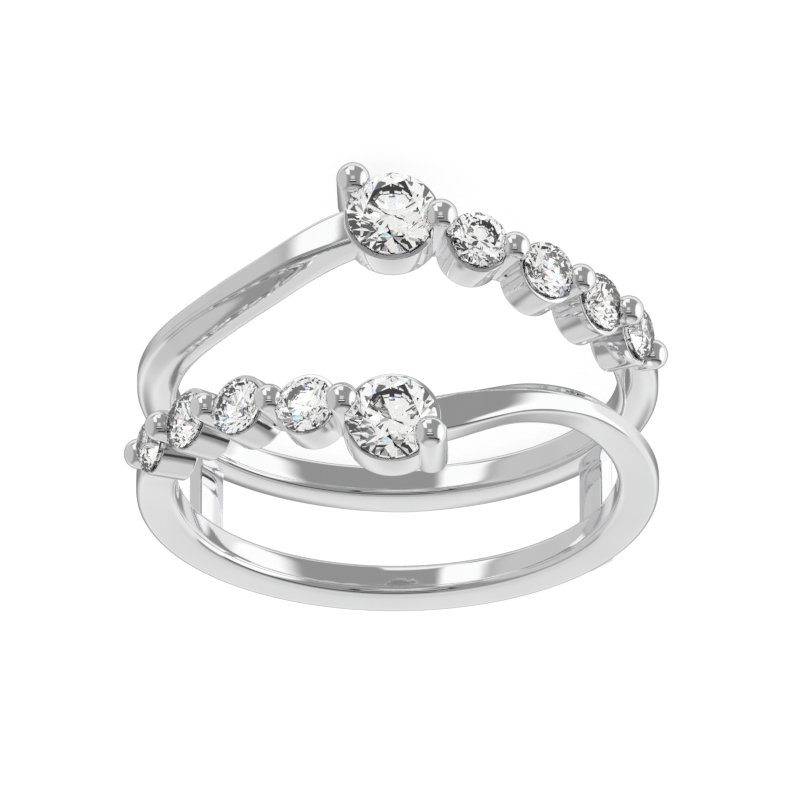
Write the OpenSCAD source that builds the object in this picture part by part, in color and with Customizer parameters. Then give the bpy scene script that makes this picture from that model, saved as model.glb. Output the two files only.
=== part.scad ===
// Ring guard: two bands joined low down by two bridge bars, with a slot between them for another
// ring. Each band has a large round stone at the top and a row of four small ones down one side,
// and a plain polished shoulder on the other. Half a turn about the top axis maps one band onto
// the other. Sizes are in millimetres.
// Ring axes: x across the finger hole, y along the finger, z towards the large stones.
// The last transform lays the ring on its side, as it rests on a table.

/* [Finger hole] */
// Diameter of the finger hole, US size 7
bore_diameter = 17.3; // [14:0.1:22]

/* [Bands] */
// Metal between the finger hole and the outside of a plain arm
band_thickness = 1.6; // [1:0.05:2.6]
// Extra thickness at the bottom of the bands
foot_extra = 0.15; // [0:0.05:0.8]
// Width of the band at the bottom
foot_width = 1.4; // [0.9:0.05:2.5]
// Width of the plain shoulder where it meets the large setting
shoulder_width = 1.7; // [1:0.05:2.6]
// Rise of the gentle dome on the outside
dome_rise = 0.12; // [0.02:0.01:0.4]
// Rounding of the outside edges
edge_round = 0.26; // [0.1:0.02:0.6]
// Rounding of the finger-side edges
comfort_round = 0.34; // [0.1:0.02:0.5]
// Slant of the slot side of the plain arm at its widest
slot_slant = 0.65; // [0.1:0.05:0.9]
// Height of the crease in that slant, as a share of the thickness
crease_share = 0.62; // [0.3:0.02:0.8]
// Distance of a large stone from the middle of the slot
crown_offset = 4.4; // [3.6:0.05:6]
// Distance of a band's middle from the middle of the slot, at the bottom
foot_offset = 2.18; // [1.6:0.05:3.2]
// Width of the low rail between the small settings
rail_width = 1.1; // [0.7:0.05:1.8]
// Height of the low rail above the finger hole
rail_height = 0.8; // [0.5:0.05:1.5]

/* [Stones] */
// Diameter of a large round stone
main_diameter = 3.5; // [2.8:0.05:4.2]
// Diameter of a small round stone
small_diameter = 2.3; // [1.8:0.05:2.5]
// Height of the girdles above the finger hole
girdle_height = 1.7; // [1.6:0.05:2.6]
// Angle from the large stone to the first small one
first_pitch = 19.1; // [18:0.1:24]
// Angle between the first two small stones
small_pitch = 16.9; // [15.5:0.1:20]
// Each further angle along the row is smaller by this
pitch_closing = 1; // [0:0.1:1.2]
// Table width as a share of the diameter
table_share = 0.57; // [0.5:0.01:0.65]
// Crown height as a share of the diameter
crown_share = 0.15; // [0.1:0.01:0.2]
// Pavilion depth as a share of the diameter
pavilion_share = 0.43; // [0.38:0.01:0.46]
// Girdle thickness as a share of the diameter
girdle_share = 0.03; // [0.02:0.005:0.06]

/* [Settings] */
// Wall of a cup outside its stone
cup_wall = 0.14; // [0.08:0.01:0.3]
// How far the cups sit nearer the slot than their stones
cup_shift = 0.06; // [0:0.01:0.1]
// Gap between a stone and its seat
stone_gap = 0.02; // [0.01:0.005:0.06]
// Rounding of a cup's lower edge, as a share of its stone
cup_round = 0.08; // [0.04:0.02:0.3]
// How far a cup's rim lies below the girdle
rim_drop = 0.14; // [0:0.02:0.3]
// Diameter of a prong on the large stones
main_prong = 1.3; // [0.9:0.05:1.6]
// Diameter of a prong between the small stones
small_prong = 1.2; // [0.8:0.05:1.3]
// How far a shared prong stands nearer the large stone than the middle of its space
prong_shift = 0.24; // [0:0.02:0.4]
// Height of a large prong's ball centre above the girdle
main_prong_rise = 0.82; // [0.5:0.02:1.2]
// Height of a small prong's ball centre above the girdle
small_prong_rise = 0.4; // [0.3:0.02:0.8]
// Angle of the free prong of the large stone, from the ring's direction
free_prong_turn = 36; // [20:1:60]
// Reach of the free prong over the large stone's edge
free_reach = 0.56; // [0.1:0.02:0.7]
// Height of the end prong's ball centre above the girdle
end_prong_rise = 0; // [0:0.02:0.4]
// Reach of the end prong over the last small stone's edge
end_reach = 0.14; // [0.04:0.02:0.6]
// How far the end prong stands nearer the slot than the last stone
end_inward = 0.18; // [0:0.02:0.4]

/* [Bridges] */
// Angle of the bridge bars from the bottom of the ring
bridge_angle = 49; // [35:1:60]
// Width of a bridge bar along the band
bridge_width = 1.35; // [0.8:0.05:2]
// Radial thickness of a bridge bar
bridge_thickness = 0.65; // [0.4:0.05:1]
// How far a bridge bar stands proud of the bands
bridge_proud = 0.2; // [0:0.01:0.3]

/* [Resting pose] */
// Lean towards the free prong of the lower band, lying on a table
rest_lean = 0.3; // [0:0.1:3]
// Lift that keeps the leaning ring just clear of the table
table_gap = 0.015; // [0:0.005:0.05]

/* [Hidden] */
$fn = 64;
bore_r = bore_diameter / 2;
girdle_r = bore_r + girdle_height;
arm_r = bore_r + band_thickness;
// Each row has four small stones, one node each.
small_count = 4;
sweep_step = 5;
round_steps = 3;
cup_steps = 8;
dip = 0.4;
// The finger-side roundings start this far inside the hole, so the hole cuts them cleanly.
bore_bite = 0.02;
// A post is a little thinner than the ball on it.
post_share = 0.97;
// Cups end this far off the finger hole and posts twice as far, so no two faces lie in one plane.
foot_lift = 0.03;
half_turn = 180;
full_turn = 360;
crown_add = crown_offset - foot_offset;

// Path of a band round the finger, from the large stone down the stone row and back up the plain
// shoulder. Columns: angle from the top, share of crown_add that the band's middle lies further out
// than foot_offset.
PATH_OUT = 1;
path = [
    [0, 1], [19, 0.61], [36, 0.32], [52, 0.14], [67, 0.07], [90, -0.03], [130, 0], [180, 0],
    [225, -0.04], [270, -0.13], [290, -0.15], [303, -0.14], [312, -0.09], [322, 0.06],
    [329, 0.2], [338, 0.48], [348, 0.78], [360, 1]
];

// Section of a band along the same path. Columns: angle from the top, share of shoulder_width
// between foot_width and it, share of the plain thickness above the rail, share of slot_slant.
FORM_WIDE = 1;
FORM_FULL = 2;
FORM_SLANT = 3;
form = [
    [0, 0.5, 0.9, 0], [5, 0, 0, 0], [66, 0, 0, 0], [73, 0.3, 1, 0.3], [100, 0.2, 1, 0.5],
    [130, 0, 1, 0.3], [180, 0, 1, 0], [225, 0, 1, 0.3], [270, 0, 1, 0.9], [310, 0.1, 1, 1],
    [330, 0.5, 1, 0.7], [345, 1, 1, 0.2], [360, 1, 0.9, 0]
];

function row_of(t, rows, i = 0) =
    i >= len(rows) - 2 || t < rows[i + 1][0] ? i : row_of(t, rows, i + 1);
function slope_at(rows, i, col) =
    let (a = max(i - 1, 0), b = min(i + 1, len(rows) - 1))
    (rows[b][col] - rows[a][col]) / (rows[b][0] - rows[a][0]);
function smooth_at(t, rows, col) =
    let (
        i = row_of(t, rows), span = rows[i + 1][0] - rows[i][0], u = (t - rows[i][0]) / span,
        from = rows[i][col], to = rows[i + 1][col],
        m0 = slope_at(rows, i, col) * span, m1 = slope_at(rows, i + 1, col) * span
    )
    from + u * m0 + u * u * (3 * (to - from) - 2 * m0 - m1) + u * u * u * (2 * (from - to) + m0 + m1);
function straight_at(t, rows, col) =
    let (i = row_of(t, rows), u = (t - rows[i][0]) / (rows[i + 1][0] - rows[i][0]))
    rows[i][col] + u * (rows[i + 1][col] - rows[i][col]);

function out_at(t) = foot_offset + crown_add * smooth_at(t, path, PATH_OUT);
function fullness(t) = straight_at(t, form, FORM_FULL);
function width_at(t) =
    let (plain = foot_width + (shoulder_width - foot_width) * straight_at(t, form, FORM_WIDE))
    rail_width + (plain - rail_width) * fullness(t);
function outer_at(t) =
    let (plain = arm_r + foot_extra * max(0, -cos(t)))
    bore_r + rail_height + (plain - bore_r - rail_height) * fullness(t);
function slant_at(t) = slot_slant * straight_at(t, form, FORM_SLANT);

// A rounded corner of the section as [radius, distance from the slot's middle] points.
function corner(centre_r, centre_v, size, from, to) = [
    for (i = [0 : round_steps])
        let (a = from + (to - from) * i / round_steps)
        [centre_r + size * cos(a), centre_v + size * sin(a)]
];
// One section of the band, round from the finger side, out and back along the slot side.
function section(t) =
    let (
        half = width_at(t) / 2, mid = out_at(t), top = outer_at(t), side = top - dome_rise,
        inner = min(comfort_round, half * 0.6), outer = min(edge_round, half * 0.5),
        slant = min(slant_at(t), half), crease = bore_r + crease_share * (side - bore_r),
        quarter = 90
    )
    concat(
        [[bore_r - dip, mid - half + inner], [bore_r - dip, mid + half - inner]],
        corner(bore_r - bore_bite + inner, mid + half - inner, inner, 2 * quarter, quarter),
        corner(side - outer, mid + half - outer, outer, quarter, 0),
        [[top, mid + slant / 2]],
        corner(side - outer, mid - half + slant + outer, outer, 0, -quarter * 0.8),
        [[crease, mid - half + slant / 2]],
        corner(bore_r - bore_bite + inner, mid - half + inner, inner, -quarter, -2 * quarter)
    );

sweep_count = round(full_turn / sweep_step);
section_count = len(section(0));
module band_arm() {
    points = [
        for (k = [0 : sweep_count - 1])
            let (t = k * sweep_step)
            for (p = section(t)) [p[0] * sin(t), p[1], p[0] * cos(t)]
    ];
    function at(k, i) = (k % sweep_count) * section_count + i % section_count;
    faces = [
        for (k = [0 : sweep_count - 1], i = [0 : section_count - 1])
            each [
                [at(k, i), at(k + 1, i + 1), at(k, i + 1)],
                [at(k, i), at(k + 1, i), at(k + 1, i + 1)]
            ]
    ];
    polyhedron(points = points, faces = faces);
}

// Places on the stone row: place 0 is the large stone, then the small ones.
function stone_angle(n) =
    n == 0 ? 0 : first_pitch + (n - 1) * small_pitch - (n - 1) * (n - 2) / 2 * pitch_closing;
function stone_d(n) = n == 0 ? main_diameter : small_diameter;
module on_row(t) {
    translate([0, out_at(t), 0]) rotate([0, t, 0]) children();
}
module at_stone(n) {
    on_row(stone_angle(n)) translate([0, 0, girdle_r]) children();
}

// Seat cut for a stone: its round outline with the named gap all round, open above the table.
module seat_cut(d) {
    r = d / 2 + stone_gap;
    girdle = d * girdle_share / 2 + stone_gap;
    crown = girdle + d * crown_share;
    rotate_extrude() polygon([
        [0, -girdle - d * pavilion_share - stone_gap], [r, -girdle], [r, girdle],
        [d * table_share / 2 + stone_gap, crown], [0, crown]
    ]);
}
module cup(n) {
    r = stone_d(n) / 2 + cup_wall;
    top = girdle_height - rim_drop - foot_lift;
    turn_r = cup_round * stone_d(n);
    turn = [
        for (i = [0 : cup_steps])
            let (a = half_turn / 2 * i / cup_steps)
            [r - turn_r + turn_r * sin(a), turn_r - turn_r * cos(a)]
    ];
    on_row(stone_angle(n)) translate([0, -cup_shift, bore_r + foot_lift])
        rotate_extrude() polygon(concat([[0, top], [0, 0]], turn, [[r, top]]));
}
module prong(d, rise) {
    lift = 2 * foot_lift;
    translate([0, 0, bore_r + lift]) cylinder(h = girdle_height + rise - lift, d = post_share * d);
    translate([0, 0, girdle_r + rise]) sphere(d = d);
}
// A shared prong stands where the two girdles leave the narrowest space.
function shared_angle(n) =
    let (
        a = stone_angle(n), b = stone_angle(n + 1), arc = (b - a) * girdle_r * PI / half_turn,
        across = out_at(a) - out_at(b), apart = sqrt(arc * arc + across * across),
        free = apart - stone_d(n) / 2 - stone_d(n + 1) / 2
    )
    a + (b - a) * (stone_d(n) / 2 + free / 2) / apart - prong_shift / girdle_r * half_turn / PI;
end_angle = stone_angle(small_count)
    + (small_diameter / 2 + small_prong / 2 - end_reach) / girdle_r * half_turn / PI;
free_distance = main_diameter / 2 + main_prong / 2 - free_reach;
module stone_row_metal() {
    for (n = [0 : small_count]) cup(n);
    on_row(shared_angle(0)) prong(main_prong, main_prong_rise);
    for (n = [1 : small_count - 1]) on_row(shared_angle(n)) prong(small_prong, small_prong_rise);
    on_row(end_angle) translate([0, -end_inward, 0]) prong(small_prong, end_prong_rise);
    on_row(0) translate([-free_distance * cos(free_prong_turn), free_distance * sin(free_prong_turn), 0])
        prong(main_prong, main_prong_rise);
}
module half_guard() {
    band_arm();
    stone_row_metal();
}
module turned() {
    rotate([0, 0, half_turn]) children();
}
bridge_reach = out_at(half_turn - bridge_angle) + foot_width / 4;
module bridge_bar(side) {
    rotate([0, side * (half_turn - bridge_angle), 0])
        translate([-bridge_width / 2, -bridge_reach, outer_at(half_turn - bridge_angle)])
            translate([0, 0, bridge_proud - bridge_thickness])
                cube([bridge_width, 2 * bridge_reach, bridge_thickness]);
}

// The ring lies on its side. The rounded lower edge of the large cup and the rounded edge of the
// lower band's foot touch the table, and the tilt makes both reach it.
cup_turn = cup_round * main_diameter;
cup_side = crown_offset - cup_shift + main_diameter / 2 + cup_wall - cup_turn;
foot_side = foot_offset + foot_width / 2 - edge_round;
foot_touch_r = outer_at(half_turn) - dome_rise - edge_round;
side_step = cup_side - foot_side;
touch_span = bore_r + foot_lift + cup_turn + foot_touch_r;
rest_tilt = atan(side_step / touch_span) + asin((cup_turn - edge_round) / norm([side_step, touch_span]));
cup_low = bore_r + foot_lift + cup_turn;
rest_height = cup_side * cos(rest_tilt) - cup_low * sin(rest_tilt) + cup_turn + table_gap;
// Where the resting ring ends towards and away from the stones, so that it stands centred.
free_tip = crown_offset + free_distance * sin(free_prong_turn);
near_end = (girdle_r + main_prong_rise) * cos(rest_tilt) + free_tip * sin(rest_tilt) + main_prong / 2;
far_end = (arm_r + foot_extra) * cos(rest_tilt) + foot_offset * sin(rest_tilt);
lie_down = true;
module lying() {
    turn = lie_down ? [-rest_tilt, -rest_lean, 0] : [0, 0, 0];
    place = lie_down ? [0, (near_end - far_end) / 2, rest_height] : [0, 0, 0];
    translate(place) rotate(turn) rotate([-90, 0, half_turn]) children();
}

module guard_frame() color("silver") lying() difference() {
    union() {
        half_guard();
        turned() half_guard();
        bridge_bar(1);
        bridge_bar(-1);
    }
    rotate([90, 0, 0]) cylinder(h = 4 * crown_offset, r = bore_r, center = true, $fn = 180);
    for (n = [0 : small_count]) {
        at_stone(n) seat_cut(stone_d(n));
        turned() at_stone(n) seat_cut(stone_d(n));
    }
}

// Round brilliant with its girdle's middle at height 0: table, eight stars, eight kites, sixteen
// upper and lower girdle facets and eight pavilion mains.
GEM_SIDES = 8;
gem_step = full_turn / GEM_SIDES;
star_share = 0.8;
lower_share = 0.24;
module brilliant(d) {
    r = d / 2;
    table = r * table_share;
    half_girdle = d * girdle_share / 2;
    crown = d * crown_share;
    pavilion = d * pavilion_share;
    star = table + (r - table) * (1 - star_share) * 2;
    low = r * lower_share;
    star_z = half_girdle + crown * (r - star * cos(gem_step / 2)) / (r - table);
    low_z = -half_girdle - pavilion * (1 - low * cos(gem_step / 2) / r);
    function ring(radius, z, shift, count) = [
        for (k = [0 : count - 1])
            let (a = (k + shift) * full_turn / count) [radius * cos(a), radius * sin(a), z]
    ];
    tables = 0;
    stars = GEM_SIDES;
    tops = 2 * GEM_SIDES;
    bottoms = 4 * GEM_SIDES;
    lows = 6 * GEM_SIDES;
    culet = 7 * GEM_SIDES;
    points = concat(
        ring(table, half_girdle + crown, 0, GEM_SIDES), ring(star, star_z, 1 / 2, GEM_SIDES),
        ring(r, half_girdle, 0, 2 * GEM_SIDES), ring(r, -half_girdle, 0, 2 * GEM_SIDES),
        ring(low, low_z, 1 / 2, GEM_SIDES), [[0, 0, -half_girdle - pavilion]]
    );
    function turn(base, k, count) = base + (k + count) % count;
    faces = concat(
        [[for (k = [GEM_SIDES - 1 : -1 : 0]) tables + k]],
        [for (k = [0 : GEM_SIDES - 1]) let (
            t0 = turn(tables, k, GEM_SIDES), t1 = turn(tables, k + 1, GEM_SIDES),
            s0 = turn(stars, k, GEM_SIDES), s1 = turn(stars, k - 1, GEM_SIDES),
            g0 = turn(tops, 2 * k, 2 * GEM_SIDES), g1 = turn(tops, 2 * k + 1, 2 * GEM_SIDES),
            g2 = turn(tops, 2 * k + 2, 2 * GEM_SIDES), b0 = turn(bottoms, 2 * k, 2 * GEM_SIDES),
            b1 = turn(bottoms, 2 * k + 1, 2 * GEM_SIDES), b2 = turn(bottoms, 2 * k + 2, 2 * GEM_SIDES),
            l0 = turn(lows, k, GEM_SIDES), l1 = turn(lows, k - 1, GEM_SIDES)
        ) each [
            [t0, t1, s0], [t0, s0, g0], [t0, g0, s1], [s0, g1, g0], [s0, g2, g1],
            [g0, g1, b1, b0], [g1, g2, b2, b1],
            [b0, b1, l0], [b1, b2, l0], [b0, l0, culet], [b0, culet, l1]
        ]]
    );
    polyhedron(points = points, faces = faces);
}
module back_stone(n) color("azure") lying() at_stone(n) brilliant(stone_d(n));
module front_stone(n) color("azure") lying() turned() at_stone(n) brilliant(stone_d(n));

module back_main_stone() back_stone(0);
module back_small_stone_1() back_stone(1);
module back_small_stone_2() back_stone(2);
module back_small_stone_3() back_stone(3);
module back_small_stone_4() back_stone(4);
module front_main_stone() front_stone(0);
module front_small_stone_1() front_stone(1);
module front_small_stone_2() front_stone(2);
module front_small_stone_3() front_stone(3);
module front_small_stone_4() front_stone(4);

guard_frame();
back_main_stone();
back_small_stone_1();
back_small_stone_2();
back_small_stone_3();
back_small_stone_4();
front_main_stone();
front_small_stone_1();
front_small_stone_2();
front_small_stone_3();
front_small_stone_4();
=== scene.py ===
"""A ring guard on its side: two polished bands, a slot between them, two rows of round stones."""

import math

import bmesh
import bpy
from mathutils import Matrix, Vector


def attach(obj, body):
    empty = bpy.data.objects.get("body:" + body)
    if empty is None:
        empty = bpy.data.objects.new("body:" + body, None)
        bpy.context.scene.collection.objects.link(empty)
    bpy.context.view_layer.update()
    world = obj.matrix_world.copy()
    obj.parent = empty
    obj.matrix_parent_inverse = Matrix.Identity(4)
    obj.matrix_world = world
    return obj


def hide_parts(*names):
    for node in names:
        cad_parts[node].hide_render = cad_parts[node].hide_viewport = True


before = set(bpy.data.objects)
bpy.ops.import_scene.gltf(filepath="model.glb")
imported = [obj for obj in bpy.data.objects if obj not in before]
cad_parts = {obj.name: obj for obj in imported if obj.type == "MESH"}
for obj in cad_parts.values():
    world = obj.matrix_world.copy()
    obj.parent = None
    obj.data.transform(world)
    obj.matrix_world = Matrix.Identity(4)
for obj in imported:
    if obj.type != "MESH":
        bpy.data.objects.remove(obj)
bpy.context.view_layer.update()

# Sizes in metres, the same as the part's source. Ring axes: x across the finger hole, y along the
# finger, z towards the large stones.
MM = 0.001
BODY = "root"
BORE = 8.65 * MM
ARM = BORE + 1.6 * MM
FOOT_EXTRA = 0.15 * MM
FOOT_WIDE = 1.4 * MM
SHOULDER_WIDE = 1.7 * MM
RAIL_WIDE = 1.1 * MM
RAIL_HIGH = 0.8 * MM
DOME = 0.12 * MM
EDGE_ROUND = 0.26 * MM
COMFORT_ROUND = 0.34 * MM
SLOT_SLANT = 0.65 * MM
CREASE_SHARE = 0.62
SIDE_CROWN = 0.05 * MM
CROWN_OUT = 4.4 * MM
FOOT_OUT = 2.18 * MM
GIRDLE = BORE + 1.7 * MM
MAIN_STONE = 3.5 * MM
SMALL_STONE = 2.3 * MM
SMALL_COUNT = 4
FIRST_PITCH = 19.1
SMALL_PITCH = 16.9
CUP_WALL = 0.14 * MM
CUP_SHIFT = 0.06 * MM
RIM_DROP = 0.14 * MM
CUP_ROUND = 0.08
FOOT_LIFT = 0.03 * MM
POST_ROUND = 0.2
STONE_GAP = 0.02 * MM
GIRDLE_SHARE = 0.03
CROWN_SHARE = 0.15
TABLE_SHARE = 0.57
PAVILION_SHARE = 0.43
MAIN_PRONG = 1.3 * MM
SMALL_PRONG = 1.2 * MM
PRONG_SHIFT = 0.24 * MM
MAIN_RISE = 0.82 * MM
SMALL_RISE = 0.4 * MM
END_RISE = 0.0
FREE_TURN = math.radians(36)
FREE_REACH = 0.56 * MM
END_REACH = 0.14 * MM
END_INWARD = 0.18 * MM
END_FOOT = 0.9 * MM
BRIDGE_ANGLE = 49
BRIDGE_WIDE = 1.35 * MM
BRIDGE_THICK = 0.65 * MM
BRIDGE_PROUD = 0.2 * MM
TABLE_GAP = 0.015 * MM
REST_LEAN = math.radians(0.3)
HALF_TURN = 180
FULL_TURN = 360
SWEEP_STEP = 5
ROUND_SIDES = 64
SEAT_POINT = 0.02
NEARLY_WHOLE = 0.98
RIM_ROUND = 0.05 * MM
BRIDGE_EASE = 0.08 * MM
SMOOTH_ANGLE = 55
POST_LOW = BORE + 2 * FOOT_LIFT

# Steps that each rounded edge is made of, and how often the band is subdivided.
POST_STEPS = 5
BALL_STEPS = 12
CUP_STEPS = 10
RIM_STEPS = 3
EASE_STEPS = 3
CORNER_STEPS = 4
SUBSURF_LEVELS = 2

# How near a point lies to the place that a test looks for, and other measures for picking points.
MERGE_WITHIN = 0.002 * MM
LEVEL_NEAR = 0.01 * MM
SECTION_NEAR = 0.05 * MM
LAYER_NEAR = 0.1 * MM
SIDE_CLEAR = 0.15 * MM
LONG_EDGE = 0.3 * MM
FACING = 0.9

# Path of a band round the finger. Columns: angle from the top, share of the crown's extra offset.
PATH = (
    (0, 1), (19, 0.61), (36, 0.32), (52, 0.14), (67, 0.07), (90, -0.03), (130, 0), (180, 0),
    (225, -0.04), (270, -0.13), (290, -0.15), (303, -0.14), (312, -0.09), (322, 0.06),
    (329, 0.2), (338, 0.48), (348, 0.78), (360, 1),
)
# Section of a band. Columns: angle from the top, share of the shoulder's width, share of the plain
# thickness above the rail, share of the slot side's slant.
FORM = (
    (0, 0.5, 0.9, 0), (5, 0, 0, 0), (66, 0, 0, 0), (73, 0.3, 1, 0.3), (100, 0.2, 1, 0.5),
    (130, 0, 1, 0.3), (180, 0, 1, 0), (225, 0, 1, 0.3), (270, 0, 1, 0.9), (310, 0.1, 1, 1),
    (330, 0.5, 1, 0.7), (345, 1, 1, 0.2), (360, 1, 0.9, 0),
)

# The ring lies on its side, on the large cup's rounded edge and the foot's rounded edge.
CUP_TURN = CUP_ROUND * MAIN_STONE
CUP_SIDE = CROWN_OUT - CUP_SHIFT + MAIN_STONE / 2 + CUP_WALL - CUP_TURN
FOOT_SIDE = FOOT_OUT + FOOT_WIDE / 2 - EDGE_ROUND
FOOT_TOUCH = ARM + FOOT_EXTRA - DOME - EDGE_ROUND
SIDE_STEP = CUP_SIDE - FOOT_SIDE
CUP_LOW = BORE + FOOT_LIFT + CUP_TURN
TOUCH_SPAN = CUP_LOW + FOOT_TOUCH
REST_TILT = math.atan(SIDE_STEP / TOUCH_SPAN) + math.asin(
    (CUP_TURN - EDGE_ROUND) / math.hypot(SIDE_STEP, TOUCH_SPAN)
)
REST_HIGH = (
    CUP_SIDE * math.cos(REST_TILT)
    - CUP_LOW * math.sin(REST_TILT)
    + CUP_TURN
    + TABLE_GAP
)
FREE_DISTANCE = MAIN_STONE / 2 + MAIN_PRONG / 2 - FREE_REACH
FREE_TIP = CROWN_OUT + FREE_DISTANCE * math.sin(FREE_TURN)
NEAR_END = (
    (GIRDLE + MAIN_RISE) * math.cos(REST_TILT) + FREE_TIP * math.sin(REST_TILT) + MAIN_PRONG / 2
)
FAR_END = (ARM + FOOT_EXTRA) * math.cos(REST_TILT) + FOOT_OUT * math.sin(REST_TILT)

# From ring axes to the resting pose on the table.
LYING = (
    Matrix.Translation((0, (NEAR_END - FAR_END) / 2, REST_HIGH))
    @ Matrix.Rotation(-REST_LEAN, 4, "Y")
    @ Matrix.Rotation(-REST_TILT, 4, "X")
    @ Matrix.Rotation(math.pi, 4, "Z")
    @ Matrix.Rotation(-math.pi / 2, 4, "X")
)


def row_of(t, rows):
    """The table row that an angle falls in."""
    return max(i for i in range(len(rows) - 1) if rows[i][0] <= t)


def straight_at(t, rows, column):
    i = row_of(t, rows)
    u = (t - rows[i][0]) / (rows[i + 1][0] - rows[i][0])
    return rows[i][column] + u * (rows[i + 1][column] - rows[i][column])


def slope_at(rows, i):
    low, high = max(i - 1, 0), min(i + 1, len(rows) - 1)
    return (rows[high][1] - rows[low][1]) / (rows[high][0] - rows[low][0])


def out_at(t):
    """Distance of a band's middle from the middle of the slot."""
    i = row_of(t, PATH)
    span = PATH[i + 1][0] - PATH[i][0]
    u = (t - PATH[i][0]) / span
    start, end = PATH[i][1], PATH[i + 1][1]
    m0, m1 = slope_at(PATH, i) * span, slope_at(PATH, i + 1) * span
    share = start + u * m0 + u * u * (3 * (end - start) - 2 * m0 - m1)
    share += u * u * u * (2 * (start - end) + m0 + m1)
    return FOOT_OUT + (CROWN_OUT - FOOT_OUT) * share


def width_at(t):
    plain = FOOT_WIDE + (SHOULDER_WIDE - FOOT_WIDE) * straight_at(t, FORM, 1)
    return RAIL_WIDE + (plain - RAIL_WIDE) * straight_at(t, FORM, 2)


def outer_at(t):
    plain = ARM + FOOT_EXTRA * max(0, -math.cos(math.radians(t)))
    return BORE + RAIL_HIGH + (plain - BORE - RAIL_HIGH) * straight_at(t, FORM, 2)


def slant_at(t):
    return min(SLOT_SLANT * straight_at(t, FORM, 3), width_at(t) / 2)


def stone_angle(n):
    """Angle from the top of a place on the stone row; place 0 is the large stone."""
    return 0 if n == 0 else FIRST_PITCH + (n - 1) * SMALL_PITCH - (n - 1) * (n - 2) / 2


def stone_size(n):
    return MAIN_STONE if n == 0 else SMALL_STONE


def clear_selection():
    if bpy.context.mode != "OBJECT":
        bpy.ops.object.mode_set(mode="OBJECT")
    bpy.ops.object.select_all(action="DESELECT")


def open_for_shaping(piece):
    """Puts one piece in edit mode with nothing selected."""
    clear_selection()
    piece.select_set(True)
    bpy.context.view_layer.objects.active = piece
    bpy.ops.object.mode_set(mode="EDIT")
    bpy.ops.mesh.select_mode(type="VERT")
    bpy.ops.mesh.select_all(action="DESELECT")


def pick(piece, chosen):
    """Selects the corner points that a test picks by their place."""
    mesh = bmesh.from_edit_mesh(piece.data)
    for vert in mesh.verts:
        vert.select_set(chosen(vert.co))
    mesh.select_flush_mode()
    bmesh.update_edit_mesh(piece.data)


def pick_edges(piece, chosen):
    """Selects the edges that a test picks by their two ends."""
    bpy.ops.mesh.select_mode(type="EDGE")
    mesh = bmesh.from_edit_mesh(piece.data)
    for edge in mesh.edges:
        edge.select_set(chosen(edge.verts[0].co, edge.verts[1].co))
    bmesh.update_edit_mesh(piece.data)


def pick_faces(piece, chosen):
    """Selects the faces that a test picks by the way they face."""
    bpy.ops.mesh.select_mode(type="FACE")
    mesh = bmesh.from_edit_mesh(piece.data)
    for face in mesh.faces:
        face.select_set(chosen(face.normal))
    bmesh.update_edit_mesh(piece.data)


def close_shape():
    """Merges doubled points and turns every face outward."""
    bpy.ops.mesh.select_mode(type="VERT")
    bpy.ops.mesh.select_all(action="SELECT")
    bpy.ops.mesh.remove_doubles(threshold=MERGE_WITHIN)
    bpy.ops.mesh.normals_make_consistent(inside=False)


def put(piece, matrix):
    """Moves a finished piece to its place and leaves it unturned at the origin."""
    clear_selection()
    piece.select_set(True)
    bpy.context.view_layer.objects.active = piece
    piece.matrix_world = matrix @ piece.matrix_world
    bpy.ops.object.transform_apply(location=True, rotation=True, scale=True)


def copy_of(piece, name):
    twin = piece.copy()
    twin.data = piece.data.copy()
    twin.name = name
    bpy.context.collection.objects.link(twin)
    return twin


def use_modifier(piece, kind, **settings):
    clear_selection()
    piece.select_set(True)
    bpy.context.view_layer.objects.active = piece
    modifier = piece.modifiers.new(kind.lower(), kind)
    for key, value in settings.items():
        setattr(modifier, key, value)
    bpy.ops.object.modifier_apply(modifier=modifier.name)


def on_row(t):
    """Place on a band at an angle from the top, with z straight out from the finger."""
    return Matrix.Translation((0, out_at(t), 0)) @ Matrix.Rotation(math.radians(t), 4, "Y")


# Camera: where the photograph's camera stands, with a long lens. It is set in ring axes.
CAMERA_RISE = math.radians(63.8)
CAMERA_ROLL = math.radians(1.2)
CAMERA_FAR = 0.6
PIXELS_PER_MM = 25.5
FRAME_PIXELS = 800
SENSOR = 36.0
RING_CENTRE = (397.6, 433.1)
CLIP_NEAR = 0.01
CLIP_FAR = 10


def camera_place():
    back = Vector((0, -math.cos(CAMERA_RISE), math.sin(CAMERA_RISE)))
    up = Vector((0, math.sin(CAMERA_RISE), math.cos(CAMERA_RISE)))
    axes = Matrix((up.cross(back), up, back)).transposed().to_4x4()
    place = LYING @ Matrix.Rotation(CAMERA_ROLL, 4, "Y") @ axes
    place.translation = LYING.translation + CAMERA_FAR * place.col[2].to_3d()
    return place


def set_up_camera():
    data = bpy.data.cameras.new("camera")
    camera = bpy.data.objects.new("camera", data)
    bpy.context.collection.objects.link(camera)
    data.sensor_width = SENSOR
    data.lens = SENSOR * CAMERA_FAR / (FRAME_PIXELS / PIXELS_PER_MM * MM)
    data.clip_start = CLIP_NEAR
    data.clip_end = CLIP_FAR
    data.shift_x = (FRAME_PIXELS / 2 - RING_CENTRE[0]) / FRAME_PIXELS
    data.shift_y = (RING_CENTRE[1] - FRAME_PIXELS / 2) / FRAME_PIXELS
    camera.matrix_world = camera_place()
    bpy.context.scene.camera = camera


set_up_camera()


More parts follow.
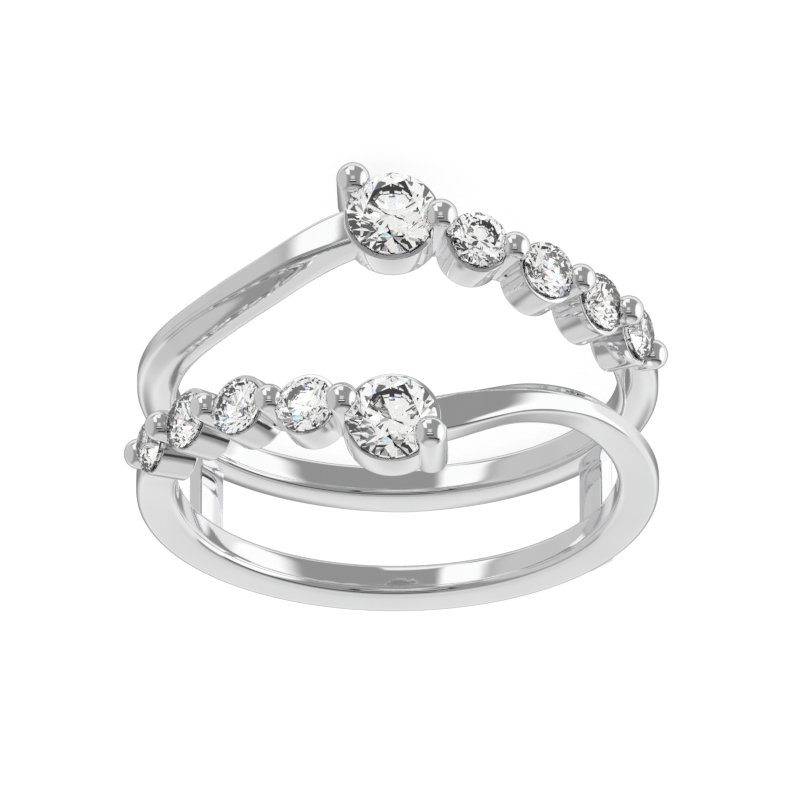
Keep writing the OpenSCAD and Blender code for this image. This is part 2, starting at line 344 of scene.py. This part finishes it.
# Wear: waves and fine marks in the surfaces, in cycles to the metre.
WAVE_SCALE = 420.0
MARK_SCALE = 5200.0
MARK_SHARE = 0.03
MARK_WARP = 0.6
MARKS_FROM = 0.35
MARKS_TO = 0.75
METAL_LIGHT = (0.95, 0.95, 0.955, 1)
METAL_DARK = (0.88, 0.88, 0.89, 1)
METAL_SMOOTH = 0.03
METAL_WORN = 0.1
BUMP_STRENGTH = 0.5
BUMP_HIGH = 0.02 * MM
STONE_LIGHT = (1, 1, 1, 1)
STONE_DARK = (0.96, 0.955, 0.945, 1)
STONE_BENDS = 2.42
WHITE = (1, 1, 1, 1)
# Places of the colour sockets on a mix node.
COLOUR_A = 6
COLOUR_B = 7
COLOUR_MIXED = 2


def add_node(nodes, kind, **values):
    """A new node with some of its inputs filled in; underscores stand for spaces."""
    made = nodes.new(kind)
    for name, value in values.items():
        made.inputs[name.replace("_", " ")].default_value = value
    return made


def soft_wear():
    """Shared effect: broad soft waves and fine marks that change tone, roughness and height."""
    group = bpy.data.node_groups.new("soft wear", "ShaderNodeTree")
    sockets = group.interface
    for name, kind, value in (
        ("Light Tone", "NodeSocketColor", WHITE),
        ("Dark Tone", "NodeSocketColor", (0.9, 0.9, 0.9, 1)),
        ("Smooth", "NodeSocketFloat", 0.04),
        ("Worn", "NodeSocketFloat", 0.1),
    ):
        sockets.new_socket(name=name, in_out="INPUT", socket_type=kind).default_value = value
    for name, kind in (
        ("Tone", "NodeSocketColor"),
        ("Roughness", "NodeSocketFloat"),
        ("Height", "NodeSocketFloat"),
    ):
        sockets.new_socket(name=name, in_out="OUTPUT", socket_type=kind)
    nodes, links = group.nodes, group.links
    given, result = nodes.new("NodeGroupInput"), nodes.new("NodeGroupOutput")
    place = nodes.new("ShaderNodeTexCoord").outputs["Object"]
    waves = add_node(nodes, "ShaderNodeTexNoise", Scale=WAVE_SCALE, Detail=2.0)
    marks = add_node(
        nodes, "ShaderNodeTexNoise", Scale=MARK_SCALE, Detail=4.0, Distortion=MARK_WARP
    )
    for noise in (waves, marks):
        links.new(place, noise.inputs["Vector"])
    tone = nodes.new("ShaderNodeMix")
    tone.data_type = "RGBA"
    links.new(waves.outputs["Fac"], tone.inputs["Factor"])
    links.new(given.outputs["Light Tone"], tone.inputs[COLOUR_A])
    links.new(given.outputs["Dark Tone"], tone.inputs[COLOUR_B])
    links.new(tone.outputs[COLOUR_MIXED], result.inputs["Tone"])
    rough = add_node(nodes, "ShaderNodeMapRange", From_Min=MARKS_FROM, From_Max=MARKS_TO)
    links.new(marks.outputs["Fac"], rough.inputs["Value"])
    links.new(given.outputs["Smooth"], rough.inputs["To Min"])
    links.new(given.outputs["Worn"], rough.inputs["To Max"])
    links.new(rough.outputs["Result"], result.inputs["Roughness"])
    height = nodes.new("ShaderNodeMath")
    height.operation = "MULTIPLY_ADD"
    height.inputs[1].default_value = MARK_SHARE
    links.new(marks.outputs["Fac"], height.inputs[0])
    links.new(waves.outputs["Fac"], height.inputs[2])
    links.new(height.outputs["Value"], result.inputs["Height"])
    return group


WEAR = soft_wear()


def worn(material, light, dark, smooth_value, worn_value):
    """Adds the shared effect to a material and joins its tone to the shader."""
    nodes, links = material.node_tree.nodes, material.node_tree.links
    wear = nodes.new("ShaderNodeGroup")
    wear.node_tree = WEAR
    wear.inputs["Light Tone"].default_value = light
    wear.inputs["Dark Tone"].default_value = dark
    wear.inputs["Smooth"].default_value = smooth_value
    wear.inputs["Worn"].default_value = worn_value
    links.new(wear.outputs["Tone"], nodes["Principled BSDF"].inputs["Base Color"])
    return wear


def white_metal():
    """Bright polished white gold with a rhodium finish."""
    made = bpy.data.materials.new("polished white metal")
    made.use_nodes = True
    nodes, links = made.node_tree.nodes, made.node_tree.links
    shader = nodes["Principled BSDF"]
    shader.inputs["Metallic"].default_value = 1.0
    wear = worn(made, METAL_LIGHT, METAL_DARK, METAL_SMOOTH, METAL_WORN)
    links.new(wear.outputs["Roughness"], shader.inputs["Roughness"])
    bump = add_node(nodes, "ShaderNodeBump", Strength=BUMP_STRENGTH, Distance=BUMP_HIGH)
    links.new(wear.outputs["Height"], bump.inputs["Height"])
    links.new(bump.outputs["Normal"], shader.inputs["Normal"])
    return made


def clear_stone():
    """Clear cut stone with a faint change of tone."""
    made = bpy.data.materials.new("clear cut stone")
    made.use_nodes = True
    shader = made.node_tree.nodes["Principled BSDF"]
    shader.inputs["Roughness"].default_value = 0.0
    shader.inputs["IOR"].default_value = STONE_BENDS
    shader.inputs["Transmission Weight"].default_value = 1.0
    worn(made, STONE_LIGHT, STONE_DARK, 0.0, 0.0)
    return made


METAL = white_metal()
STONE = clear_stone()


def band():
    """Sweeps the foot's section round the finger hole, then gives each section its own form."""
    thick = outer_at(HALF_TURN) - BORE
    clear_selection()
    bpy.ops.mesh.primitive_plane_add(
        size=1, location=(0, FOOT_OUT, -(BORE + thick / 2)), rotation=(0, math.pi / 2, 0)
    )
    made = bpy.context.object
    made.name = "band"
    made.scale = (thick, FOOT_WIDE, 1)
    bpy.ops.object.transform_apply(location=True, rotation=True, scale=True)
    open_for_shaping(made)
    middle = -(BORE + thick / 2)
    pick(made, lambda p: p.z > middle)
    bpy.ops.mesh.bevel(offset=COMFORT_ROUND, segments=CORNER_STEPS, affect="VERTICES")
    pick(made, lambda p: p.z < middle)
    bpy.ops.mesh.bevel(offset=EDGE_ROUND, segments=CORNER_STEPS, affect="VERTICES")
    # The middle of the inside, of the outside and of each side gets a point of its own.
    pick_edges(made, lambda a, b: (a - b).length > LONG_EDGE)
    bpy.ops.mesh.subdivide(number_cuts=1)
    bpy.ops.mesh.select_all(action="SELECT")
    bpy.ops.mesh.delete(type="ONLY_FACE")
    bpy.ops.mesh.select_mode(type="VERT")
    bpy.ops.mesh.select_all(action="SELECT")
    bpy.ops.mesh.spin(
        steps=FULL_TURN // SWEEP_STEP, angle=2 * math.pi, center=(0, 0, 0), axis=(0, 1, 0)
    )
    close_shape()
    for t in range(0, FULL_TURN, SWEEP_STEP):
        shape_section(made, t, thick)
    close_shape()
    bpy.ops.object.mode_set(mode="OBJECT")
    use_modifier(made, "SUBSURF", levels=SUBSURF_LEVELS)
    return made


def shape_section(made, t, thick):
    """Gives one section of the band its own thickness, width, slant and place."""
    angle = math.radians(t)
    outward = Vector((math.sin(angle), 0, math.cos(angle)))
    along = Vector((math.cos(angle), 0, -math.sin(angle)))

    def here(p):
        return abs(p.dot(along)) < SECTION_NEAR and p.dot(outward) > 0

    def at_height(p, height, near):
        return here(p) and abs(p.dot(outward) - height) < near

    rise = outer_at(t) - BORE
    slant = slant_at(t)
    half_way = BORE + thick / 2
    pick(made, lambda p: here(p) and p.dot(outward) > half_way + LAYER_NEAR)
    bpy.ops.transform.translate(value=outward * (rise - thick))
    pick(made, lambda p: at_height(p, half_way, LAYER_NEAR))
    crease = BORE + CREASE_SHARE * (rise - DOME)
    bpy.ops.transform.translate(value=outward * (crease - half_way))
    pick(made, here)
    bpy.ops.transform.resize(
        value=(1, width_at(t) / FOOT_WIDE, 1), center_override=(0, FOOT_OUT, 0)
    )
    slot_side = FOOT_OUT - SIDE_CLEAR
    pick(made, lambda p: here(p) and p.dot(outward) > crease + SECTION_NEAR and p.y < slot_side)
    bpy.ops.transform.translate(value=(0, slant, 0))
    pick(made, lambda p: at_height(p, crease, LEVEL_NEAR) and p.y < slot_side)
    bpy.ops.transform.translate(value=(0, slant / 2, 0))
    pick(made, here)
    bpy.ops.transform.translate(value=(0, out_at(t) - FOOT_OUT, 0))
    outer_side = out_at(t) + SIDE_CLEAR
    pick(made, lambda p: at_height(p, crease, LEVEL_NEAR) and p.y > outer_side)
    bpy.ops.transform.translate(value=(0, SIDE_CROWN, 0))


def upright_round(name, radius, low, high):
    """A plain round post between two heights at the top of the ring, opened for shaping."""
    clear_selection()
    bpy.ops.mesh.primitive_cylinder_add(
        vertices=ROUND_SIDES, radius=radius, depth=high - low, location=(0, 0, (low + high) / 2)
    )
    made = bpy.context.object
    made.name = name
    bpy.ops.object.transform_apply(location=True, rotation=True, scale=True)
    open_for_shaping(made)
    return made


def seat_cutter(size):
    """The room that a stone takes with a small gap round it, built at the top of the ring."""
    radius = size / 2 + STONE_GAP
    girdle = size * GIRDLE_SHARE / 2 + STONE_GAP
    clear_selection()
    bpy.ops.mesh.primitive_cylinder_add(
        vertices=ROUND_SIDES, radius=radius, depth=2 * girdle, location=(0, 0, GIRDLE)
    )
    made = bpy.context.object
    made.name = "seat_cutter"
    bpy.ops.object.transform_apply(location=True, rotation=True, scale=True)
    open_for_shaping(made)
    for side, reach, share in ((1, CROWN_SHARE, TABLE_SHARE), (-1, PAVILION_SHARE, SEAT_POINT)):
        pick_faces(made, lambda normal: normal.z * side > FACING)
        step = (0, 0, size * reach * side)
        bpy.ops.mesh.extrude_region_move(TRANSFORM_OT_translate={"value": step})
        bpy.ops.transform.resize(value=(share, share, 1), center_override=(0, 0, GIRDLE))
    bpy.ops.object.mode_set(mode="OBJECT")
    return made


def seat_cutters():
    """One cutter for each stone of a band, at its place."""
    shapes = {size: seat_cutter(size) for size in (MAIN_STONE, SMALL_STONE)}
    placed = []
    for n in range(SMALL_COUNT + 1):
        cutter = copy_of(shapes[stone_size(n)], "placed_cutter")
        put(cutter, on_row(stone_angle(n)))
        placed.append(cutter)
    for shape in shapes.values():
        bpy.data.objects.remove(shape)
    return placed


def cut_away(piece, cutter):
    use_modifier(piece, "BOOLEAN", operation="DIFFERENCE", solver="EXACT", object=cutter)


def cup(n):
    """A round cup with a softened rim and a rounded lower edge, at the top of the ring."""
    size = stone_size(n)
    radius = size / 2 + CUP_WALL
    low, high = BORE + FOOT_LIFT, GIRDLE - RIM_DROP
    made = upright_round("cup", radius, low, high)
    pick_edges(made, lambda a, b: min(a.z, b.z) > (low + high) / 2)
    bpy.ops.mesh.bevel(offset=RIM_ROUND, segments=RIM_STEPS, affect="EDGES")
    pick_edges(made, lambda a, b: max(a.z, b.z) < low + LEVEL_NEAR)
    bpy.ops.mesh.bevel(offset=CUP_ROUND * size, segments=CUP_STEPS, affect="EDGES")
    bpy.ops.object.mode_set(mode="OBJECT")
    put(made, Matrix.Translation((0, -CUP_SHIFT, 0)))
    return made


def prong(width, rise, low=POST_LOW):
    """A post with a softened foot and its top bevelled into a half ball, at the top of the ring."""
    high = GIRDLE + rise + width / 2
    made = upright_round("prong", width / 2, low, high)
    pick_edges(made, lambda a, b: min(a.z, b.z) > high - LEVEL_NEAR)
    bpy.ops.mesh.bevel(offset=width / 2 * NEARLY_WHOLE, segments=BALL_STEPS, affect="EDGES")
    pick_edges(made, lambda a, b: max(a.z, b.z) < low + LEVEL_NEAR)
    bpy.ops.mesh.bevel(offset=POST_ROUND * width, segments=POST_STEPS, affect="EDGES")
    bpy.ops.object.mode_set(mode="OBJECT")
    return made


def shared_angle(n):
    """Angle where two neighbouring stones leave the narrowest space."""
    a, b = stone_angle(n), stone_angle(n + 1)
    arc = math.radians(b - a) * GIRDLE
    apart = math.hypot(arc, out_at(a) - out_at(b))
    free = apart - stone_size(n) / 2 - stone_size(n + 1) / 2
    middle = a + (b - a) * (stone_size(n) / 2 + free / 2) / apart
    return middle - math.degrees(PRONG_SHIFT / GIRDLE)


def bridge_bar():
    """A flat strip with eased edges that joins the two bands low down on one side."""
    t = HALF_TURN - BRIDGE_ANGLE
    reach = out_at(t) + FOOT_WIDE / 4
    middle = outer_at(t) + BRIDGE_PROUD - BRIDGE_THICK / 2
    clear_selection()
    bpy.ops.mesh.primitive_cube_add(size=1, location=(0, 0, middle))
    made = bpy.context.object
    made.name = "bridge_bar"
    made.scale = (BRIDGE_WIDE, 2 * reach, BRIDGE_THICK)
    bpy.ops.object.transform_apply(location=True, rotation=True, scale=True)
    open_for_shaping(made)
    pick_edges(made, lambda a, b: abs(a.y - b.y) > reach)
    bpy.ops.mesh.bevel(offset=BRIDGE_EASE, segments=EASE_STEPS, affect="EDGES")
    bpy.ops.object.mode_set(mode="OBJECT")
    put(made, Matrix.Rotation(math.radians(t), 4, "Y"))
    return made


def settings(seats):
    """The cups and prongs of one band: each kind is built once, then copied along the row."""
    main_cup, small_cup = cup(0), cup(1)
    main_post, small_post = prong(MAIN_PRONG, MAIN_RISE), prong(SMALL_PRONG, SMALL_RISE)
    free_post = copy_of(main_post, "free_prong")
    beside = (-FREE_DISTANCE * math.cos(FREE_TURN), FREE_DISTANCE * math.sin(FREE_TURN), 0)
    put(free_post, Matrix.Translation(beside))
    end_post = prong(SMALL_PRONG, END_RISE, BORE + END_FOOT)
    end_reach = (SMALL_STONE + SMALL_PRONG) / 2 - END_REACH
    end_angle = stone_angle(SMALL_COUNT) + math.degrees(end_reach / GIRDLE)
    end_place = on_row(end_angle) @ Matrix.Translation((0, -END_INWARD, 0))
    # Each piece with its place and the seats that cut into it.
    plan = [(main_cup, on_row(0), [0]), (free_post, on_row(0), [0])]
    plan += [(main_post, on_row(shared_angle(0)), [0, 1]), (end_post, end_place, [SMALL_COUNT])]
    plan += [(small_cup, on_row(stone_angle(n)), [n]) for n in range(1, SMALL_COUNT + 1)]
    plan += [(small_post, on_row(shared_angle(n)), [n, n + 1]) for n in range(1, SMALL_COUNT)]
    made = []
    for shape, place, cuts in plan:
        twin = copy_of(shape, shape.name)
        put(twin, place)
        for n in cuts:
            cut_away(twin, seats[n])
        made.append(twin)
    for shape in (main_cup, small_cup, main_post, small_post, free_post, end_post):
        bpy.data.objects.remove(shape)
    return made


def joined(pieces, name):
    clear_selection()
    for piece in pieces:
        piece.select_set(True)
    bpy.context.view_layer.objects.active = pieces[0]
    bpy.ops.object.join()
    pieces[0].name = name
    return pieces[0]


def smooth(piece):
    clear_selection()
    piece.select_set(True)
    bpy.context.view_layer.objects.active = piece
    bpy.ops.object.shade_smooth_by_angle(angle=math.radians(SMOOTH_ANGLE))


def half_guard():
    """One band with its settings and one bridge bar, in ring axes."""
    seats = seat_cutters()
    plain = band()
    for seat in seats:
        cut_away(plain, seat)
    row = joined(settings(seats), "stone_row")
    bar = bridge_bar()
    for tool in seats:
        bpy.data.objects.remove(tool)
    return [plain, row, bar]


def finish_metal(piece):
    smooth(piece)
    put(piece, LYING)
    piece.data.materials.clear()
    piece.data.materials.append(METAL)
    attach(piece, BODY)
    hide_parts("guard_frame")


def guard():
    """Both bands: the second is the first one turned half round about the top axis."""
    for piece in half_guard():
        twin = copy_of(piece, "front_" + piece.name)
        piece.name = "back_" + piece.name
        put(twin, Matrix.Rotation(math.pi, 4, "Z"))
        finish_metal(piece)
        finish_metal(twin)


guard()
for name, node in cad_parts.items():
    node.data.materials.clear()
    node.data.materials.append(STONE if "stone" in name else METAL)


# Light cards of the studio, laid out on the view from the photograph's camera: x is to the right of
# it, y above it and z behind it. Columns: left, right, low, high, back from, soft edge, brightness.
METAL_SKY = 0.31
METAL_CARDS = {
    "right_wall": (0.76, 1.60, -1.60, 1.60, -1.60, 0.14, 1.06),
    "left_wall": (-1.60, -0.68, -1.60, 1.60, -1.60, 0.20, 0.58),
    "low_strip": (-1.60, 1.60, -1.60, -0.84, -1.60, 0.16, 0.70),
    "top_strip": (-0.40, 0.10, 0.90, 1.60, -0.20, 0.06, 0.95),
    "left_glow": (-0.66, -0.34, 0.51, 1.60, 0.0, 0.10, 1.05),
    "ball_glow": (-0.24, 0.16, 0.02, 0.42, 0.0, 0.16, 0.72),
    "lens_side": (-0.42, 0.36, -0.38, -0.01, 0.0, 0.06, 0.05),
    "bright_bar": (-0.38, 0.30, -0.18, -0.10, 0.0, 0.03, 1.20),
    "dark_bar": (-0.20, 1.05, -0.70, -0.56, 0.0, 0.05, 0.05),
}
BEHIND_CARDS = {
    "low_fade": (-1.60, 1.60, -1.60, -0.82, -1.60, 0.36, 0.66),
    "left_fade": (-1.60, -0.60, -1.60, 1.60, -1.60, 0.40, 0.60),
}
STONE_SKY = 1.16
STONE_CARDS = {
    "lens": (-0.10, 0.10, -0.10, 0.10, 0.0, 0.05, 0.12),
    "grey_side": (-1.60, -0.66, -0.30, 1.60, -1.60, 0.10, 0.62),
    "dark_side": (0.50, 0.68, -0.50, -0.06, 0.0, 0.04, 0.06),
    "dark_bar": (-0.30, 0.25, -0.74, -0.60, 0.0, 0.04, 0.05),
    "dark_top": (0.10, 0.40, 0.52, 0.64, 0.0, 0.04, 0.08),
    "spot": (-0.45, -0.25, 0.30, 0.50, 0.0, 0.05, 3.0),
}
# Small coloured cards that only the stones show. Columns as above without the brightness.
STONE_TINTS = (
    ((-0.44, -0.32, -0.16, -0.04, 0.0, 0.03), (0.25, 0.45, 1.0, 1)),
    ((0.28, 0.40, 0.24, 0.34, 0.0, 0.03), (0.45, 0.9, 1.0, 1)),
    ((0.05, 0.15, -0.36, -0.28, 0.0, 0.03), (1.0, 0.62, 0.4, 1)),
)
# Light from behind the ring and from its very edge, and the plain white that the camera sees.
BACKDROP = 1.0
BEHIND = 0.85
BEHIND_START = -0.28
BEHIND_SOFT = 0.1
SILHOUETTE = 0.26
SILHOUETTE_START = -0.82
SILHOUETTE_SOFT = 0.34
FLOOR_SIZE = 4
FLOOR_GLOW = 0.80
FLOOR_TONE = 0.27
FLOOR_MATT = 0.9


def step_up(nodes, links, value, start, soft):
    """0 below the start and 1 above it, with a soft edge."""
    ramp = nodes.new("ShaderNodeMapRange")
    ramp.interpolation_type = "SMOOTHSTEP"
    ramp.inputs["From Min"].default_value = start - soft / 2
    ramp.inputs["From Max"].default_value = start + soft / 2
    links.new(value, ramp.inputs["Value"])
    return ramp.outputs["Result"]


def product(nodes, links, one, other):
    times = nodes.new("ShaderNodeMath")
    times.operation = "MULTIPLY"
    links.new(one, times.inputs[0])
    links.new(other, times.inputs[1])
    return times.outputs["Value"]


def inverse(nodes, links, value):
    less = nodes.new("ShaderNodeMath")
    less.operation = "SUBTRACT"
    less.inputs[0].default_value = 1
    links.new(value, less.inputs[1])
    return less.outputs["Value"]


def along_axis(nodes, links, direction, axis):
    """How far a direction points along a fixed axis of the studio."""
    dot = nodes.new("ShaderNodeVectorMath")
    dot.operation = "DOT_PRODUCT"
    dot.inputs[1].default_value = axis
    links.new(direction, dot.inputs[0])
    return dot.outputs["Value"]


def card_mask(nodes, links, axes, card):
    left, right, low, high, back_from, soft = card[:6]
    across, up, back = axes
    mask = product(
        nodes, links, step_up(nodes, links, across, left, soft),
        inverse(nodes, links, step_up(nodes, links, across, right, soft)),
    )
    rows = product(
        nodes, links, step_up(nodes, links, up, low, soft),
        inverse(nodes, links, step_up(nodes, links, up, high, soft)),
    )
    near = step_up(nodes, links, back, back_from, soft)
    return product(nodes, links, product(nodes, links, mask, rows), near)


def blend(nodes, links, factor, low, high):
    """Mixes two brightnesses; each is a number or the socket of another node."""
    mix = nodes.new("ShaderNodeMix")
    mix.data_type = "FLOAT"
    links.new(factor, mix.inputs["Factor"])
    for name, value in (("A", low), ("B", high)):
        if isinstance(value, float):
            mix.inputs[name].default_value = value
        else:
            links.new(value, mix.inputs[name])
    return mix.outputs["Result"]


def tinted(nodes, links, factor, plain, tint):
    """Mixes a tint over a colour, which is a value or the socket of another node."""
    mix = nodes.new("ShaderNodeMix")
    mix.data_type = "RGBA"
    links.new(factor, mix.inputs["Factor"])
    if isinstance(plain, tuple):
        mix.inputs[COLOUR_A].default_value = plain
    else:
        links.new(plain, mix.inputs[COLOUR_A])
    mix.inputs[COLOUR_B].default_value = tint
    return mix.outputs[COLOUR_MIXED]


def lit_by(nodes, links, axes, sky, cards):
    light = sky
    for card in cards.values():
        light = blend(nodes, links, card_mask(nodes, links, axes, card), light, card[-1])
    return light


def studio_sky():
    """A tent of soft cards. The polished metal and the stones each have cards of their own."""
    world = bpy.data.worlds.new("studio")
    bpy.context.scene.world = world
    world.use_nodes = True
    nodes, links = world.node_tree.nodes, world.node_tree.links
    background = nodes["Background"]
    direction = nodes.new("ShaderNodeTexCoord").outputs["Generated"]
    place = camera_place()
    axes = [along_axis(nodes, links, direction, place.col[i].to_3d()) for i in range(3)]
    on_metal = lit_by(nodes, links, axes, METAL_SKY, METAL_CARDS)
    behind = inverse(nodes, links, step_up(nodes, links, axes[2], BEHIND_START, BEHIND_SOFT))
    from_behind = lit_by(nodes, links, axes, BEHIND, BEHIND_CARDS)
    on_metal = blend(nodes, links, behind, on_metal, from_behind)
    edge = inverse(nodes, links, step_up(nodes, links, axes[2], SILHOUETTE_START, SILHOUETTE_SOFT))
    on_metal = blend(nodes, links, edge, on_metal, SILHOUETTE)
    on_stones = lit_by(nodes, links, axes, STONE_SKY, STONE_CARDS)
    ray = nodes.new("ShaderNodeLightPath").outputs
    light = blend(nodes, links, ray["Is Glossy Ray"], BACKDROP, on_metal)
    light = blend(nodes, links, ray["Is Transmission Ray"], light, on_stones)
    links.new(light, background.inputs["Strength"])
    tone = WHITE
    for card, tint in STONE_TINTS:
        shown = card_mask(nodes, links, axes, card)
        mask = product(nodes, links, shown, ray["Is Transmission Ray"])
        tone = tinted(nodes, links, mask, tone, tint)
    links.new(tone, background.inputs["Color"])


def studio_floor():
    """A pale floor that glows a little, so the shadow on it stays faint. Reflections pass it by."""
    clear_selection()
    bpy.ops.mesh.primitive_plane_add(size=FLOOR_SIZE, location=(0, 0, 0))
    floor = bpy.context.object
    floor.name = "floor"
    pale = bpy.data.materials.new("pale floor")
    pale.use_nodes = True
    shader = pale.node_tree.nodes["Principled BSDF"]
    shader.inputs["Base Color"].default_value = (FLOOR_TONE, FLOOR_TONE, FLOOR_TONE, 1)
    shader.inputs["Roughness"].default_value = FLOOR_MATT
    shader.inputs["Specular IOR Level"].default_value = 0.0
    shader.inputs["Emission Color"].default_value = WHITE
    shader.inputs["Emission Strength"].default_value = FLOOR_GLOW
    nodes, links = pale.node_tree.nodes, pale.node_tree.links
    passing = nodes.new("ShaderNodeMixShader")
    links.new(nodes.new("ShaderNodeLightPath").outputs["Is Glossy Ray"], passing.inputs["Fac"])
    links.new(shader.outputs["BSDF"], passing.inputs[1])
    links.new(nodes.new("ShaderNodeBsdfTransparent").outputs["BSDF"], passing.inputs[2])
    links.new(passing.outputs["Shader"], nodes["Material Output"].inputs["Surface"])
    floor.data.materials.append(pale)


studio_sky()
studio_floor()
bpy.context.scene.view_settings.view_transform = "Standard"
